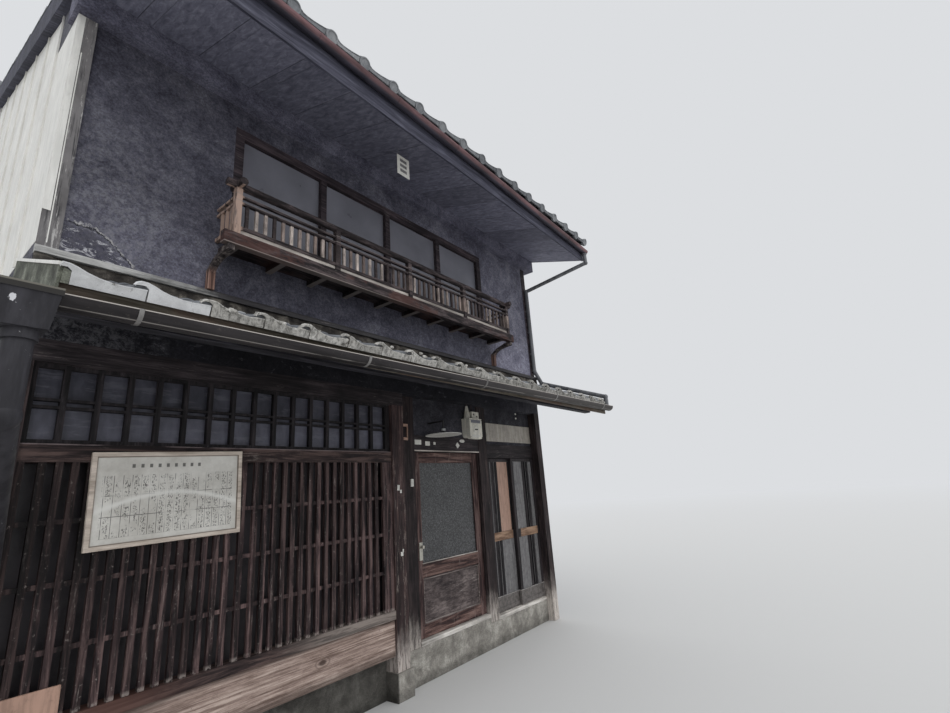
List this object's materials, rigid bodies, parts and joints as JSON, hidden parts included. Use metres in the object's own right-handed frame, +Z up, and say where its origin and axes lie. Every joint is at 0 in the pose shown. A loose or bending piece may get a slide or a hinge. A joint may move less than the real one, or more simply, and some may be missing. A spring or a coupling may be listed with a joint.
{
  "type": "machiya townhouse",
  "caption": "Two-storey timber row house with a latticed front, hinged and sliding entrance doors, a tiled pent roof, an upper window with a railed balcony and a tiled gable roof.",
  "frame": {"origin": "middle of the frontage and of the walls' depth, at street level", "axes": "+X to the right along the front as seen from the street, +Y from the street front to the back, +Z up"},
  "size_m": [5.99, 10.031, 6.9601],
  "materials": {
    "packed_earth": "rough packed earth",
    "floor_boards": "worn boards",
    "dark_plaster": "charcoal plaster, mottled and scuffed",
    "base_stone": "rough cut stone",
    "dark_timber": "dark stained wood, weathered",
    "brown_timber": "reddish-brown stained wood, worn",
    "pale_timber": "bare grey weathered wood",
    "window_pane": "frosted grey glass",
    "board_panel": "faded off-white paint",
    "beige_board": "faded beige paint",
    "bright_metal": "dull worn metal",
    "grey_metal": "brown-grey anodised",
    "grey_panel": "grey panes",
    "meter_case": "grey-beige case",
    "white_enamel": "white enamel, dirty",
    "roof_tile": "smoked grey clay tile",
    "dark_gutter": "dark grey paint, rusty edges",
    "copper_gutter": "brown paint, weathered",
    "grey_pipe": "grey, faded"
  },
  "bodies": {
    "house": {"ground_floor": "packed_earth", "upper_floor": "floor_boards", "left_party_wall": "dark_plaster", "right_party_wall": "dark_plaster", "base_stones": "base_stone", "main_post": "dark_timber", "front_posts": "dark_timber", "front_beam": "dark_timber", "lattice_rails": "dark_timber", "front_lattice": "brown_timber", "transom_lattice": "dark_timber", "front_glazing": "window_pane", "skirt_board": "pale_timber", "notice_board": "board_panel", "door_lintels": "dark_timber", "over_door_wall": "dark_plaster", "transom_panel": "beige_board", "door_sills": "pale_timber", "door_hinges": "bright_metal", "electric_meter": "meter_case", "entry_lamp": "white_enamel", "lower_roof": "dark_timber", "lower_roof_tiles": "roof_tile", "lower_gutter": "dark_gutter", "rain_hopper": "dark_gutter", "foot_ledge": "pale_timber", "upper_front_wall": "dark_plaster", "corner_board": "pale_timber", "window_frame": "dark_timber", "window_glass": "window_pane", "balcony_floor": "brown_timber", "balcony_railing": "brown_timber", "balcony_brackets": "brown_timber", "wall_plates": "dark_timber", "roof_deck": "dark_timber", "roof_tiles": "roof_tile", "roof_ridge": "roof_tile", "eave_gutters": "copper_gutter", "upper_downpipe": "grey_pipe", "back_wall": "dark_plaster", "back_joinery": "dark_timber", "back_glass": "window_pane"},
    "hinged_leaf": {"hinged_door": "brown_timber", "hinged_door_glass": "window_pane", "hinged_door_fittings": "bright_metal"},
    "left_sliding_leaf": {"sliding_door_left": "grey_metal", "sliding_panes_left": "grey_panel"},
    "right_sliding_leaf": {"sliding_door_right": "grey_metal", "sliding_panes_right": "grey_panel"}
  },
  "joints": [
    {"name": "hinged_door_swing", "type": "hinge", "parent": "house", "child": "hinged_leaf", "pos_m": [1.4375, -3.756, 0.345], "axis": [0, 0, -1], "range_deg": [0, 95]},
    {"name": "left_door_slide", "type": "slide", "parent": "house", "child": "left_sliding_leaf", "axis": [1, 0, 0], "range_m": [0, 0.5]},
    {"name": "right_door_slide", "type": "slide", "parent": "house", "child": "right_sliding_leaf", "axis": [-1, 0, 0], "range_m": [0, 0.5]}
  ]
}
